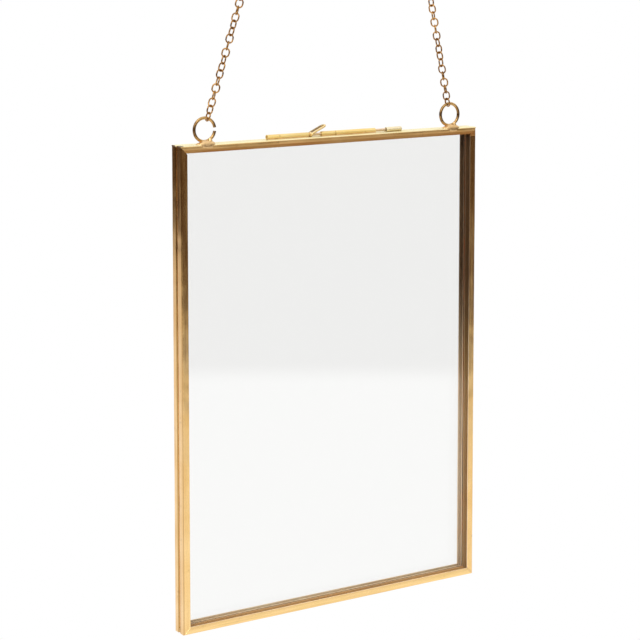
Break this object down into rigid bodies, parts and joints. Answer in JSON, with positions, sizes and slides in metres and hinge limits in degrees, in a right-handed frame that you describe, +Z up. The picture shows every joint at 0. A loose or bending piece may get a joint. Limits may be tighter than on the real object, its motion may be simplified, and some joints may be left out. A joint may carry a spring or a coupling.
{
  "type": "hanging double-glass picture frame",
  "caption": "Slim upright brass frame of two hinged glazed halves, bolted along the top and hung on rings and a fine chain.",
  "frame": {"origin": "top of the nail, where the hanging chain bears on it, in the plane of the chain", "axes": "+X to the right as seen from the room, +Y into the wall, +Z up"},
  "size_m": [0.136, 0.0072, 0.396],
  "materials": {
    "channel": "folded brass strip, tarnished and unevenly polished",
    "pane": "clear sheet glass",
    "ring": "drawn brass wire, worn bright on top",
    "solder": "hard solder, filed smooth",
    "tube": "drawn brass tube, polished",
    "bolt": "drawn brass wire, polished",
    "chain": "fine trace chain of brass wire, polished"
  },
  "bodies": {
    "chain": {"chain_left": "chain", "chain_right": "chain", "chain_top_link": "chain"},
    "front_frame": {"front_top_rail": "channel", "front_bottom_rail": "channel", "front_left_stile": "channel", "front_right_stile": "channel", "front_glass": "pane", "ring_left": "ring", "ring_right": "ring", "ring_solder_left": "solder", "ring_solder_right": "solder", "latch_guide_left": "tube", "latch_stop_tube": "tube", "latch_guide_right": "tube", "latch_solder": "solder", "hinge_knuckles_front": "tube", "hinge_solder_front": "solder", "hinge_pin_left": "bolt", "hinge_pin_right": "bolt"},
    "back_frame": {"back_top_rail": "channel", "back_bottom_rail": "channel", "back_left_stile": "channel", "back_right_stile": "channel", "back_glass": "pane", "latch_keeper": "tube", "keeper_solder": "solder", "hinge_knuckles_back": "tube", "hinge_solder_back": "solder"},
    "bolt": {"latch_bolt": "bolt", "pull_loop": "bolt"}
  },
  "joints": [
    {"name": "frame_swing", "type": "hinge", "parent": "chain", "child": "front_frame", "pos_m": [-0.012, 0, -0.19601], "axis": [1, 0, 0], "range_deg": [-60, 60]},
    {"name": "back_frame_open", "type": "hinge", "parent": "front_frame", "child": "back_frame", "pos_m": [-0.012, 0.0011, -0.3921], "axis": [-1, 0, 0], "range_deg": [0, 170]},
    {"name": "bolt_slide", "type": "slide", "parent": "front_frame", "child": "bolt", "axis": [1, 0, 0], "range_m": [0, 0.0028]}
  ]
}
